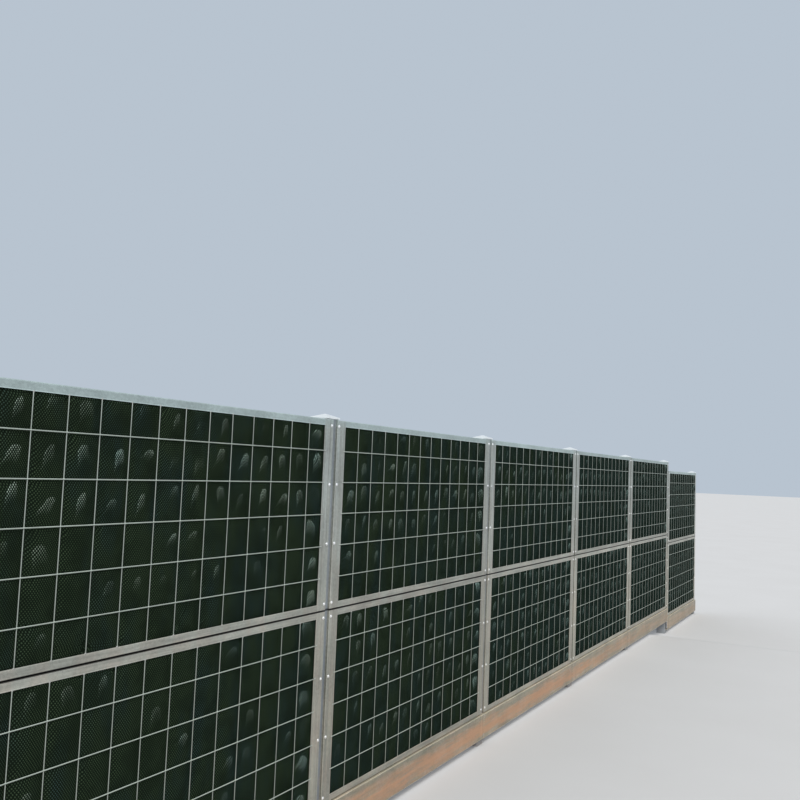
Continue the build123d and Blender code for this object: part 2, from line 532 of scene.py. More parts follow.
def weather_and_seam_shade_effect() -> bpy.types.NodeTree:
    """Makes the weathered look of the sheets, and painted shade along the seam: stains run down the flanges
    and along the rails.

    The distance from the nearest post, which repeats with the bays, tells flange from rail. White
    noise of the bay's and the cassette's number gives each cassette its own tone.

    Returns:
        A group whose Streak mask, Tint and Piece tone are 0 to 1, whose Height is over the bay's own
        ground, whose Rail is 1 between the flanges, and whose seam mask is 1 along the seam between
        the cassettes, where it paints shade.
    """
    flange_edge, seam_edge = (0.089, 0.093), (0.0062, 0.0036)
    stain_edge, tint_edge = (0.36, 0.64), (0.38, 0.62)
    running_down, running_along, in_patches = (48.0, 48.0, 2.2), (2.6, 48.0, 60.0), (16.0, 16.0, 5.0)
    n = Effect("weathering_and_seam_shade", {"Vector": None}, ("Streak", "Tint", "Height", "Rail", "Piece", "Seam"))
    at = n.given["Vector"]
    x, _, z = n.split(at)
    rail = n.ease(n.math("PINGPONG", x, LAYOUT.bay_pitch / 2), *flange_edge)
    down = n.noise(n.stretch(at, running_down), 1.0, detail=4.0, roughness=0.6)
    along = n.noise(n.stretch(at, running_along), 1.0, detail=4.0, roughness=0.6)
    tint = n.noise(n.stretch(at, in_patches), 1.0)
    lower = n.math("GREATER_THAN", x, LAYOUT.post_x(LAYOUT.bays_before_step))
    height = lower * LAYOUT.step_down + z
    seam = LAYOUT.panel_z(0, Tier.LOWER) + (LAYOUT.panel_height + LAYOUT.seam_gap) / 2
    bay = n.math("FLOOR", x / LAYOUT.bay_pitch)
    # The seam mask paints shade along the seam between the cassettes.
    return n.done(Streak=n.ease(down * (1.0 - rail) + along * rail, *stain_edge),
                  Tint=n.ease(tint, *tint_edge), Height=height, Rail=rail,
                  Piece=n.draw(bay, n.math("GREATER_THAN", height, seam), 0.5),
                  Seam=n.ease(abs(height - seam), *seam_edge))


def edge_highlight_and_gap_shade_effect() -> bpy.types.NodeTree:
    """Makes painted highlights along the edges, where a rounded normal leaves the true one, and painted shade
    in gaps.

    Returns:
        A group whose edge mask, a painted highlight, and gap mask, painted shade, are 0 to 1.
    """
    edge_radius, gap_reach, edge_turn, gap_share = 0.0065, 0.026, (0.995, 0.93), (0.50, 0.10)
    n = Effect("edges and gaps", {"Vector": None}, ("Edge", "Grime"))
    rounded = n.add("Bevel", Radius=edge_radius, settings={"samples": 6})
    # Ambient occlusion paints shade in gaps and inner corners.
    hollow = n.add("AmbientOcclusion", Distance=gap_reach, settings={"samples": 8}, out="AO")
    turn = n.add("VectorMath", rounded, n.normal(), settings={"operation": "DOT_PRODUCT"}, out="Value")
    broken = n.ease(n.noise(n.given["Vector"], 60.0, detail=2.0), 0.2, 0.6)
    return n.done(Edge=n.ease(turn, *edge_turn) * n.span(broken, 0.75, 1.0),
                  Grime=n.ease(hollow, *gap_share))


def dust_and_reflection_effect() -> bpy.types.NodeTree:
    """Makes the dust: ledges catch it, and splashes lie in long patches about one height.

    The splashes grow fewer along the row. On the plinths they are a painted reflection of an orange
    hose lying on the ground along them.

    Returns:
        A group whose mask of dust, and on the plinths of painted reflection, is 0 to 1.
    """
    long_patches, long_flecks, fewer_between = (0.7, 3.0, 7.0), (0.10, 1.0, 1.0), (-0.5, 3.5)
    near_weight, fleck_weight, splash_edge = 0.55, 0.55, (0.92, 1.36)
    n = Effect("soil_and_hose_reflection dust", {"Vector": None, "Height": 0.0, "Middle": 0.0, "Reach": 0.6, "Ledge": 0.5},
               ("Dust",))
    at = n.given["Vector"]
    up = n.split(n.normal())[2]
    patch = n.noise(n.stretch(at, long_patches), 3.2, detail=6.0, roughness=0.66)
    fleck = n.noise(n.stretch(at, long_flecks), 70.0, detail=4.0, roughness=0.65)
    away = abs(n.given["Height"] - n.given["Middle"])
    near = n.math("SUBTRACT", 1.0, away / n.given["Reach"], clamp=True)
    splash = n.ease(near * near_weight + patch + fleck * fleck_weight, *splash_edge)
    splash = splash * n.span(n.ease(n.split(at)[0], *fewer_between), 1.0, 0.3)
    ledge = n.ease(up, 0.35, 0.95) * n.ease(patch, 0.3, 0.7)
    return n.done(Dust=n.math("MAXIMUM", splash, ledge * n.given["Ledge"]))


def net_effect() -> bpy.types.NodeTree:
    """Makes the knitted net: round meshes on a diamond lattice.

    The lattice is cos(2 pi u / width) cos(2 pi v / height), whose crests lie on alternate rows. The
    meshes open wider under the hoods of pressed wool and painted sunlight, and a slow noise closes
    them here and there.

    Returns:
        A group whose Mesh mask is 1 in the net's openings.
    """
    drift, closed_edge, strand_edge, pressed_open = 0.006, (0.32, 0.60), (0.16, 0.78), 0.12
    n = Effect("knitted net", {"Vector": None, "Press": 0.0, "Width": 0.0097, "Height": 0.0125}, ("Mesh",))
    at, press_and_sunlight = n.given["Vector"], n.given["Press"]
    x, y, z = n.split(at)
    patch = n.noise(at, 11.0, detail=2.0)
    u = n.noise(at, 9.0, detail=1.0) * drift + (x + y)
    v = patch * drift + (z - y)
    across = n.math("COSINE", u * (2 * math.pi) / n.given["Width"])
    up = n.math("COSINE", v * (2 * math.pi) / n.given["Height"])
    opened = n.math("MAXIMUM", n.span(n.ease(patch, *closed_edge), 0.50, 1.0), press_and_sunlight)
    return n.done(Mesh=n.ease(press_and_sunlight * pressed_open + across * up, *strand_edge) * opened)


@dataclass(frozen=True)
class Hoods:
    """The pale hoods where the wool presses on the net, one in most cells of the grid: partly the pale
    wool showing through, partly painted sunlight on the lit slope of each bulge.

    A pair holds the values at 0 and at 1 of what drives it, which is a random draw for most. The last
    column's hoods lie further left, are broader and stronger and fade less, by the values whose names
    start with last.

    Attributes:
        width: width of a cell.
        height: height of a cell.
        columns: cells across a cassette.
        aside: distance of a hood's middle to the right of its cell's.
        above: distance of its middle above the cell's.
        lean: turn of a hood in radians.
        lean_more: how much further the few steepest ones lean.
        half_height: half height of a hood.
        half_width: half width of a hood.
        narrowing: share of that width at the foot and at the head.
        fade: exponent of its fading away from its edge.
        strength: strength of a hood.
        brushing: factor on it, driven by the fine noise.
        chancy: factor on it, driven by the chance of a hood.
        last_aside: shift of the last column's hoods to the left.
        last_broader: what is added to their half width.
        last_wider: what is added to their narrowing.
        last_fade: what is added to their fade.
        last_strength: their least strength.
    """

    width: float
    height: float
    columns: int
    aside: tuple[float, float] = (-0.012, 0.022)
    above: tuple[float, float] = (-0.020, 0.020)
    lean: tuple[float, float] = (0.36, 0.68)
    lean_more: float = 0.7
    half_height: tuple[float, float] = (0.037, 0.057)
    half_width: tuple[float, float] = (0.017, 0.037)
    narrowing: tuple[float, float] = (0.18, 1.0)
    fade: tuple[float, float] = (-0.9, -2.1)
    strength: tuple[float, float] = (0.40, 1.20)
    brushing: tuple[float, float] = (0.50, 1.10)
    chancy: tuple[float, float] = (0.35, 1.0)
    last_aside: float = 0.020
    last_broader: float = 0.009
    last_wider: float = 0.08
    last_fade: float = 0.1
    last_strength: float = 0.6

    def effect(self) -> bpy.types.NodeTree:
        """Makes the mask of the hoods.

        Cell holds a place's cell coordinates and, third, the chance of a hood there. White noise of
        the cell's number gives each hood's draws. A hood is an ellipse, narrowed towards its foot.
        With m the distance from its middle towards the upper left and k the distance square to that,
        in half sizes, its edge lies at sqrt(1 - k^2), and the mask is exp(fade (sqrt(1 - k^2) - m))
        inside it, where fade is below 0: crisp at the upper left and fading to the lower right. Fine
        noise, drawn out along the hood, brushes it.

        Returns:
            A group whose mask, of pressed wool and painted sunlight, is 0 to 1.
        """
        across_scale, along_scale, cell_shift = 150.0, 22.0, 3.7
        slant_s, slant_t = 0.77, 0.64
        n = Effect("sunlit_pressing wool", {"Cell": None}, ("Press",))
        u, v, chance = n.split(n.given["Cell"])
        column, row = n.math("FLOOR", u), n.math("FLOOR", v)
        first, second = n.draw(column, row, 0.5), n.draw(column, row, 7.5)
        draws = n.split(first.other("Color")) + n.split(second.other("Color"))
        last = n.ease(u, self.columns - 1.1, self.columns - 0.9)
        dx = (n.math("FRACT", u) - 0.5) * self.width - n.span(draws[0], *self.aside) + last * self.last_aside
        dz = (n.math("FRACT", v) - 0.5) * self.height - n.span(draws[1], *self.above)
        lean = draws[2] ** 8.0 * self.lean_more + n.span(draws[2], *self.lean)
        cosine, sine = n.math("COSINE", lean), n.math("SINE", lean)
        s = dx * cosine - dz * sine
        t = dx * sine + dz * cosine
        streaks = n.add("CombineXYZ", s * across_scale, t * along_scale, (column + row) * cell_shift)
        brushed = n.ease(n.noise(streaks, 1.0, detail=2.0), 0.30, 0.62)
        t = t / n.span(draws[3], *self.half_height)
        narrowed = last * self.last_wider + n.span(n.ease(t, -1.1, 0.7), *self.narrowing)
        s = s / ((last * self.last_broader + n.span(draws[4], *self.half_width)) * narrowed)
        m = s * -slant_s + t * slant_t
        k = s * slant_t + t * slant_s
        depth = n.math("SQRT", n.math("MAXIMUM", 1.0 - k * k, 0.0)) - m
        fade = last * self.last_fade + n.span(draws[5], *self.fade)
        # Painted sunlight: crisp at the upper left where light meets the bulge, fading to the lower right.
        hood = n.math("EXPONENT", depth * fade) * n.ease(depth, -0.03, 0.16)
        hood = hood * (n.ease(depth, 2.1, 1.2) * n.ease(abs(k), 1.0, 0.62))
        power = n.span(first, *self.strength) * n.span(brushed, *self.brushing) * n.span(chance, *self.chancy)
        power = n.math("MAXIMUM", power, last * self.last_strength)
        return n.done(Press=hood * (n.ease(chance - second, 0.0, 0.12) * power))


@dataclass(frozen=True)
class ZincFinish:
    """Weathered galvanised steel, stained and dust-covered near the ground, turning from warm low down to
    cool at the top, partly weathering and partly a painted reflection of ground and sky.

    Attributes:
        name: name of the material.
        high: colour near the top of the barrier.
        low: colour near the ground.
        stain: colour of the streaks.
        tint: colour of the warm patches, which fade out towards the top.
        dust: colour of the dust; on the plinths, colour of a painted reflection of an orange hose.
        mottle: strength of the mottling.
        streaks: strength of the streaks.
        tinted: strength of the warm patches.
        dust_and_reflection_share: strength of the dust, and on the plinths of the painted reflection.
        middle: height at which the splashes lie thickest; on the plinths, the middle of the painted
            reflection.
        reach: how far from there they reach.
        ledge: strength of the dust on ledges.
        edge_highlight: how much paler the edges are, a painted highlight.
        gap_shade: how much darker gaps and inner corners are, a painted shade.
        upward_light: how much paler the faces are that look up, painted light from above.
        top: colour of the top rails, where they differ, a painted reflection of the sky.
        piece_tone: how much the cassettes differ in tone.
        metallic: share of metal in the finish.
        roughness: roughness of clean zinc.
        side_shade: how much darker the faces are that look along the row, towards -X.
        crystal_scale: fineness of the crystal patches.
        cools: heights between which the colour turns from low to high.
        top_starts: heights between which the top rails' colour sets in.
        flange_later: how much higher it sets in on the flanges.
        bump: strength and depth of the crystals' relief.
    """

    name: str
    high: RGB
    low: RGB
    stain: RGB = (0.25, 0.25, 0.19)
    tint: RGB = (0.44, 0.36, 0.30)
    dust: RGB = (0.46, 0.30, 0.19)
    mottle: float = 0.22
    streaks: float = 0.45
    tinted: float = 0.5
    dust_and_reflection_share: float = 0.25
    middle: float = 0.0
    reach: float = 0.6
    ledge: float = 0.5
    edge_highlight: float = 0.9
    gap_shade: float = 0.85
    upward_light: float = 0.0
    top: RGB | None = None
    piece_tone: float = 0.0
    metallic: float = 0.30
    roughness: float = 0.50
    side_shade: float = 0.0
    crystal_scale: float = 120.0
    cools: tuple[float, float] = (0.5, 1.9)
    top_starts: tuple[float, float] = (1.930, 1.982)
    flange_later: float = 0.025
    bump: tuple[float, float] = (0.25, 0.0004)

    def material(self, effects: dict[str, bpy.types.NodeTree]) -> bpy.types.Material:
        """Makes the material.

        Args:
            effects: the shared node groups, by short name.

        Returns:
            The new material.
        """
        n = Surface(self.name)
        mottle = n.group(effects["mottling"], Vector=n.at, Crystal_Scale=self.crystal_scale)
        weather_and_seam_shade = n.group(effects["weather_and_seam_shade"], Vector=n.at)
        height, rail = weather_and_seam_shade["Height"], weather_and_seam_shade["Rail"]
        dust = n.group(effects["dust"], Vector=n.at, Height=height, Middle=self.middle,
                       Reach=self.reach, Ledge=self.ledge)["Dust"]
        edge_light_and_shade = n.group(effects["edges"], Vector=n.at)
        # From low to high: partly weathering, partly a painted reflection of warm ground below and sky above.
        high = n.ease(height, *self.cools)
        warm = weather_and_seam_shade["Tint"] * self.tinted * n.span(high, 1.0, 0.3)
        base = n.mix(warm, n.mix(high, self.low, self.high), self.tint)
        base = n.mix(weather_and_seam_shade["Streak"] * self.streaks, base, self.stain)
        # Painted reflection of the sky: the top rails turn bluer.
        if self.top:
            above = n.ease(rail * self.flange_later + (height - self.flange_later), *self.top_starts)
            base = n.mix(above * n.span(rail, 0.65, 1.0), base, self.top)
        along, _, up = n.split(n.normal())
        # Painted highlight: the edge mask makes the edges paler.
        lift = mottle["Tone"] * self.mottle + (edge_light_and_shade["Edge"] * self.edge_highlight + 1.0)
        lift = n.ease(along, -0.75, -1.0) * -self.side_shade + lift
        # Painted light: faces that look up are paler.
        lift = n.ease(up, 0.5, 0.95) * self.upward_light + lift
        lift = (weather_and_seam_shade["Piece"] - 0.5) * self.piece_tone + lift
        # Painted shade: darker in gaps, in inner corners and along the seam between the cassettes.
        for painted_shade in (edge_light_and_shade["Grime"], weather_and_seam_shade["Seam"]):
            lift = lift * n.span(painted_shade, 1.0, 1.0 - self.gap_shade)
        clean = n.add("VectorMath", base, Scale=lift, settings={"operation": "SCALE"})
        dust_and_reflection_share = dust * self.dust_and_reflection_share
        rough = mottle["Tone"] * 0.18 + self.roughness
        strength, depth = self.bump
        return n.shade(Base_Color=n.mix(dust_and_reflection_share, clean, self.dust), Metallic=(1.0 - dust_and_reflection_share) * self.metallic,
                       Roughness=n.math("MULTIPLY_ADD", dust_and_reflection_share, 0.35, rough, clamp=True),
                       Normal=n.add("Bump", Height=mottle["Grain"], Strength=strength, Distance=depth))


@dataclass(frozen=True)
class NetFinish:
    """Dark net over pale wool, which shows through the meshes: pale where it presses on the net, under
    hoods that also paint sunlight, and darkened by painted shade where it lies back.

    Attributes:
        name: name of the material.
        strand: colour of the net's strands.
        hollow: colour seen in a mesh where the wool lies back, the wool darkened by painted shade.
        bluish: the same in the bluish patches, which spread along the row.
        wool: colour seen in a mesh where the wool touches, the pale wool with painted sunlight on it.
        bluish_wool: the same in the bluish patches.
    """

    name: str = "dark green net"
    strand: RGB = (0.0078, 0.0128, 0.0078)
    hollow: RGB = (0.050, 0.078, 0.042)
    bluish: RGB = (0.038, 0.068, 0.068)
    wool: RGB = (0.70, 0.86, 0.70)
    bluish_wool: RGB = (0.60, 0.86, 0.78)

    def material(self, effects: dict[str, bpy.types.NodeTree]) -> bpy.types.Material:
        """Makes the material.

        Args:
            effects: the shared node groups, by short name.

        Returns:
            The new material.
        """
        n = Surface(self.name)
        cell = n.add("Attribute", settings={"attribute_name": "cell"}, out="Vector")
        # Hoods of pressed wool and painted sunlight.
        press_and_sunlight = n.group(effects["press_and_sunlight"], Cell=cell)["Press"]
        mesh = n.group(effects["net"], Vector=n.at, Press=press_and_sunlight)["Mesh"]
        patch = n.split(n.at)[0] * 0.05 + n.noise(n.stretch(n.at, (9.0, 9.0, 3.0)), 1.0, 3.0)
        patch = n.ease(patch, 0.18, 0.50)
        # Painted shade: the wool darkened where it lies back behind the net.
        hollow = n.mix(patch, self.hollow, self.bluish)
        wool = n.mix(patch, self.wool, self.bluish_wool)
        return n.shade(Base_Color=n.mix(mesh, self.strand, n.mix(press_and_sunlight, hollow, wool)),
                       Roughness=n.span(mesh, 0.8, 0.95), Specular_IOR_Level=0.0,
                       Normal=n.add("Bump", Height=mesh, Strength=0.5, Distance=-0.0006))


@dataclass
class WireGrids:
    """The welded wire grids before and behind the cores.

    Attributes:
        uprights: upright wires in a grid.
        upright_pitch: distance between them.
        crosses: cross wires in a grid.
        cross_pitch: distance between them.
        radius: radius of the wire.
        upright_y: distance of the uprights' centres outside the cores' faces.
        cross_y: the same of the cross wires' centres.
        lap: how far the cross wires reach over the flanges.
        bow: twice the standard deviation of the wires' bows.
        lump: half size of the lump at a crossing.
        upright_dab: half size of the dab at an upright's end.
        upright_dab_out: how far that dab lies outside the wire's centre.
        cross_dab: half size of the dab at a cross wire's end.
        cross_dab_in: how far that dab lies inside the wire's centre.
        cross_dab_back: how far it lies back from the wire's end.
        turns: range of the random turns of lumps and dabs, in radians.
        seed: seed of the random draws.
    """

    uprights: int = 12
    upright_pitch: float = 0.138
    crosses: int = 5
    cross_pitch: float = 0.150
    radius: float = 0.0019
    upright_y: float = 0.0020
    cross_y: float = 0.0052
    lap: float = 0.012
    bow: float = 0.0007
    lump: Triple = (0.0033, 0.0027, 0.0033)
    upright_dab: Triple = (0.0048, 0.0024, 0.0038)
    upright_dab_out: float = 0.0004
    cross_dab: Triple = (0.0060, 0.0021, 0.0044)
    cross_dab_in: float = 0.0011
    cross_dab_back: float = 0.003
    turns: float = 6.28
    seed: int = 7

    def __post_init__(self) -> None:
        """Lays out the wires about a grid's middle."""
        self.x = centred(self.uprights, self.upright_pitch)
        self.rows = centred(self.crosses, self.cross_pitch)
        self.rise = LAYOUT.opening_height / 2

    def bars(self, half_depth: float) -> Shells:
        """Collects a cassette's two grids with straight wires, for the net to lie against.

        Args:
            half_depth: distance of the core's faces from the origin.

        Returns:
            The wires about the origin.
        """
        bars = Shells()
        run = LAYOUT.opening_width / 2
        for side in Side:
            y = side.value * (half_depth + self.upright_y)
            uprights = places(self.x, y, -self.rise), places(self.x, y, self.rise)
            y = side.value * (half_depth + self.cross_y)
            crosses = places(-run, y, self.rows), places(run, y, self.rows)
            for starts, ends in (uprights, crosses):
                bars.add_rings(*rods(starts, ends, np.zeros_like(starts), self.radius, 20, 6))
        return bars

    def build(self, bay: int, wire: bpy.types.Material, weld: bpy.types.Material) -> list[bpy.types.Object]:
        """Makes a bay's four grids as one piece and their weld dabs as another.

        Args:
            bay: the bay, from 0.
            wire: finish of the wires.
            weld: finish of the dabs.

        Returns:
            The two finished pieces.
        """
        rng = np.random.default_rng(self.seed + bay)
        wires, dabs = Shells(), Shells()
        core_low, core_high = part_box(f"lower_core_{bay + 1}")
        for tier in Tier:
            for side in Side:
                face = core_low[1] if side is Side.FRONT else core_high[1]
                self.add_grid(wires, dabs, bay, tier, side, face, rng)
        grid = wires.make(f"welded_wire_grids_{bay + 1}", wire)
        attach(grid, "root")
        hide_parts(f"wire_grids_{bay + 1}")
        dab = dabs.make(f"weld_dabs_{bay + 1}", weld)
        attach(dab, "root")
        return [grid, dab]

    def add_grid(self, wires: Shells, dabs: Shells, bay: int, tier: Tier, side: Side, face: float,
                 rng: np.random.Generator) -> None:
        """Adds one grid, and the dabs that hold its wire ends to the rails and the flanges.

        Args:
            wires: where wires and the lumps at their crossings are collected.
            dabs: where the dabs are collected.
            bay: the bay, from 0.
            tier: the cassette.
            side: front or rear.
            face: Y of the core's face.
            rng: source of the draws.
        """
        middle, z = LAYOUT.bay_x(bay), LAYOUT.panel_z(bay, tier)
        x, levels = middle + self.x, z + self.rows
        reach = (LAYOUT.opening_width if side is Side.FRONT else LAYOUT.rear_width) / 2 + self.lap
        upright_y = face + side.value * self.upright_y
        cross_y = face + side.value * self.cross_y
        sway = rng.normal(0, self.bow / 2, (len(x), 3)) * np.array([1.0, 0.3, 0.0])
        foot, head = places(x, upright_y, z - self.rise), places(x, upright_y, z + self.rise)
        wires.add_rings(*rods(foot, head, sway, self.radius, 12, 8))
        sag = rng.normal(0, self.bow / 2, (len(levels), 3)) * np.array([0.0, 0.3, 1.0])
        left, right = places(middle - reach, cross_y, levels), places(middle + reach, cross_y, levels)
        wires.add_rings(*rods(left, right, sag, self.radius, 16, 8))
        across, up = (lines.reshape(-1) for lines in np.meshgrid(x, levels))
        at = places(across, (upright_y + cross_y) / 2, up)
        size = rng.uniform(0.8, 1.15, (len(at), 1)) * np.array(self.lump)
        wires.add_rings(*lumps(at, size, rng.uniform(0, self.turns, len(at)), 8, 2))
        at = np.concatenate([foot, head]) + np.array([0.0, side.value * self.upright_dab_out, 0.0])
        size = rng.uniform(0.75, 1.2, (len(at), 3)) * np.array(self.upright_dab)
        dabs.add_rings(*lumps(at, size, rng.uniform(0, self.turns, len(at))))
        back = np.array([self.cross_dab_back, 0.0, 0.0])
        at = np.concatenate([left + back, right - back])
        at = at - np.array([0.0, side.value * self.cross_dab_in, 0.0])
        size = rng.uniform(0.8, 1.2, (len(at), 3)) * np.array(self.cross_dab)
        dabs.add_rings(*lumps(at, size, rng.uniform(0, self.turns, len(at))))


@dataclass
class WoolCores:
    """The twelve wool cores in their net, one in each cassette.

    The samples lie so that a column is on every upright wire and a row on every cross wire.

    Attributes:
        grids: the wire grids that hold them.
        cells_across: cells of the wire grid across a cassette.
        cells_up: cells of the wire grid up a cassette.
        steps_across: samples across a cell.
        steps_up: samples up a cell.
        rim: how far the rounded rim draws back.
        rim_width: width of the rounded rim.
        start: how far inside the core's faces the net starts to swell.
        pressure: pressure of the wool on the net.
        slack: how much longer the net is than flat, as a negative shrink.
        frames: frames of the simulation.
        settled: how many of the last frames are averaged.
        hollow: depth of the slow hollows.
        waves: wavelength and weight of the waves that make them up.
        proud: furthest that the net stands out of the core's face.
        behind_wires: gap behind the uprights and the flanges.
        behind_crosses: how far the net may stand out at the cross wires.
        flange_gap: how far from a flange the net starts to stand out.
        bulge: least and greatest height of the further swellings between the wires.
        end_bulge: the same beside a cassette's right-hand flange.
        sideways: share of the net's movement along its faces that is kept.
        seed: seed of the random draws.
    """

    grids: WireGrids
    cells_across: int = 13
    cells_up: int = 6
    steps_across: int = 10
    steps_up: int = 11
    rim: float = 0.014
    rim_width: float = 0.022
    start: float = 0.0030
    pressure: float = 4.0
    slack: float = -0.006
    frames: int = 24
    settled: int = 8
    hollow: float = 0.0025
    waves: Pairs = ((0.75, 0.8), (0.42, 0.7), (0.24, 0.6), (0.14, 0.45), (0.085, 0.25))
    proud: float = 0.0120
    behind_wires: float = 0.0003
    behind_crosses: float = 0.0026
    flange_gap: float = 0.006
    bulge: tuple[float, float] = (0.0, 0.0025)
    end_bulge: tuple[float, float] = (0.0040, 0.0110)
    sideways: float = 0.3
    seed: int = 41

    def __post_init__(self) -> None:
        """Lays out the samples, the rim and the net's movement, which all cores share."""
        low, high = (np.array(corner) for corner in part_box("lower_core_1"))
        self.half = (high - low) / 2
        self.x, self.z = np.meshgrid(self.samples(self.half[0], self.grids.upright_pitch / self.steps_across),
                                     self.samples(self.half[2], self.grids.cross_pitch / self.steps_up))
        self.u = self.x / self.grids.upright_pitch + self.cells_across / 2
        self.v = self.z / self.grids.cross_pitch + self.cells_up / 2
        self.edge = np.minimum(self.half[0] - np.abs(self.x), self.half[2] - np.abs(self.z))
        self.drawn_back = self.rim * (1 - np.clip(self.edge / self.rim_width, 0, 1)) ** 2
        self.moved = self.swell_out()

    def samples(self, half: float, step: float) -> np.ndarray:
        """Lays out samples at whole steps from the middle, and at the two edges.

        Args:
            half: distance of the edges from the middle.
            step: distance of the samples.

        Returns:
            Their places; the last step before an edge is 0.35 to 1.35 steps long.
        """
        least_gap = 0.35
        count = math.floor(half / step - least_gap)
        return np.concatenate([[-half], np.arange(-count, count + 1) * step, [half]])

    def surface(self, out: np.ndarray) -> np.ndarray:
        """Places both faces, (x, -half - out, z) and (x, half + out, z), for each face's out."""
        y = self.half[1] + out
        return places(self.x, np.stack([-y[0], y[1]]), self.z)

    def faces(self) -> list[list[int]]:
        """Joins the two grids of samples, and the band between their rims, into one closed surface.

        Returns:
            The indices of each face's points.
        """
        rows, columns = self.x.shape
        index = np.arange(rows * columns).reshape(rows, columns)
        corners = [index[:-1, :-1], index[:-1, 1:], index[1:, 1:], index[1:, :-1]]
        quads = np.stack(corners, axis=-1).reshape(-1, 4)
        loop = np.concatenate([index[0, :-1], index[:-1, -1], index[-1, :0:-1], index[:0:-1, 0]])
        other = np.roll(loop, -1)
        behind = rows * columns
        band = np.stack([loop, loop + behind, other + behind, other], axis=-1)
        return np.concatenate([quads, quads[:, ::-1] + behind, band]).tolist()

    def swell_out(self) -> np.ndarray:
        """Lets the net swell between its two wire grids, as cloth under the wool's pressure.

        It starts a little inside the core's faces, with its rim held, and presses outwards against
        bars that stand where the wires are. The places are averaged over the last frames.

        Returns:
            How far each sample moves, outwards in Y, shape (2, rows, columns, 3).
        """
        rest = self.surface(np.broadcast_to(-self.start - self.drawn_back, (2, *self.x.shape)))
        plain = bpy.data.materials.new("simulation")
        shell = Shells()
        shell.add(rest, self.faces())
        net = shell.make("swelling_net", plain)
        held = np.flatnonzero(np.tile((self.edge < self.rim_width).reshape(-1), 2))
        net.vertex_groups.new(name="rim").add(held.tolist(), 1.0, "REPLACE")
        bars = self.grids.bars(self.half[1]).make("grid_bars", plain)
        bars.modifiers.new("bars", "COLLISION")
        bars.collision.thickness_outer = 0.001
        bars.collision.cloth_friction = 2.0
        cloth = net.modifiers.new("net", "CLOTH")
        cloth.settings.quality = 6
        cloth.settings.mass = 0.05
        cloth.settings.air_damping = 2.0
        cloth.settings.tension_stiffness = cloth.settings.compression_stiffness = 12.0
        cloth.settings.shear_stiffness = 4.0
        cloth.settings.bending_stiffness = 0.02
        cloth.settings.use_pressure = True
        cloth.settings.uniform_pressure_force = self.pressure
        cloth.settings.shrink_min = self.slack
        cloth.settings.vertex_group_mass = "rim"
        cloth.settings.effector_weights.gravity = 0.0
        cloth.collision_settings.distance_min = 0.001
        cloth.collision_settings.collision_quality = 3
        total = np.zeros(rest.size)
        place = np.empty(rest.size, np.float32)
        for now in range(1, self.frames + 1):
            bpy.context.scene.frame_set(now)
            if now > self.frames - self.settled:
                posed = net.evaluated_get(bpy.context.evaluated_depsgraph_get())
                posed.data.vertices.foreach_get("co", place)
                total += place
        bpy.context.scene.frame_set(1)
        for piece in (net, bars):
            bpy.data.meshes.remove(piece.data)
        bpy.data.materials.remove(plain)
        moved = (total / self.settled).reshape(rest.shape) - rest
        moved[0, ..., 1] *= -1
        LOG.info("net swelled out by up to %.1f mm", 1000 * moved[..., 1].max())
        return moved

    def hollows(self, rng: np.random.Generator) -> np.ndarray:
        """Works out slow hollows, a sum of plane waves of random way and phase.

        Args:
            rng: source of the draws.

        Returns:
            The depth at each sample, from 0 to 1.
        """
        total = np.zeros_like(self.x)
        for wavelength, weight in self.waves:
            way = rng.uniform(0, math.pi, 3)[:, None, None]
            phase = rng.uniform(0, 2 * math.pi, 3)[:, None, None]
            k = 2 * math.pi / wavelength
            total += weight * np.sin(k * (self.x * np.cos(way) + self.z * np.sin(way)) + phase).mean(axis=0)
        return np.clip(0.5 + total / 2.4, 0, 1)

    def bulges(self, rng: np.random.Generator) -> np.ndarray:
        """Works out the further swellings between the wires.

        In a cell, with p and q from -1 to 1 across and up it, the swelling is
        height (1 - p^2)^2 (1 - q^2)^2. In the last column p is bent to bring the crest near the flange.

        Args:
            rng: source of the draws.

        Returns:
            The swelling at each sample.
        """
        last = self.cells_across - 1
        height = rng.uniform(*self.bulge, (self.cells_up + 1, self.cells_across + 1))
        height[:, last] = rng.uniform(*self.end_bulge, self.cells_up + 1)
        i = np.clip(np.floor(self.v), 0, self.cells_up).astype(int)
        j = np.clip(np.floor(self.u), 0, last).astype(int)
        part = np.clip(self.u - j, 0, 1)
        flange_at, bend = 0.92, 1.7
        part = np.where(j == last, np.clip(part / flange_at, 0, 1) ** bend, part)
        p, q = 2 * part - 1, 2 * (self.v - np.floor(self.v)) - 1
        return height[i, j] * (1 - p ** 2) ** 2 * (1 - q ** 2) ** 2

    def ceiling(self) -> np.ndarray:
        """Works out how far the net may stand out: behind the wires, and rising inwards from the flanges.

        Returns:
            The greatest shift outwards at each sample.
        """
        inward = np.minimum(LAYOUT.opening_width / 2 - np.abs(self.x),
                            LAYOUT.opening_height / 2 - np.abs(self.z))
        slope, near_wire = 0.9, 0.01
        limit = np.maximum(-self.behind_wires, np.minimum(slope * (inward - self.flange_gap), self.proud))
        for cell, most in ((self.u, -self.behind_wires), (self.v, self.behind_crosses)):
            limit = np.where(np.abs(cell - np.round(cell)) < near_wire, np.minimum(limit, most), limit)
        return limit

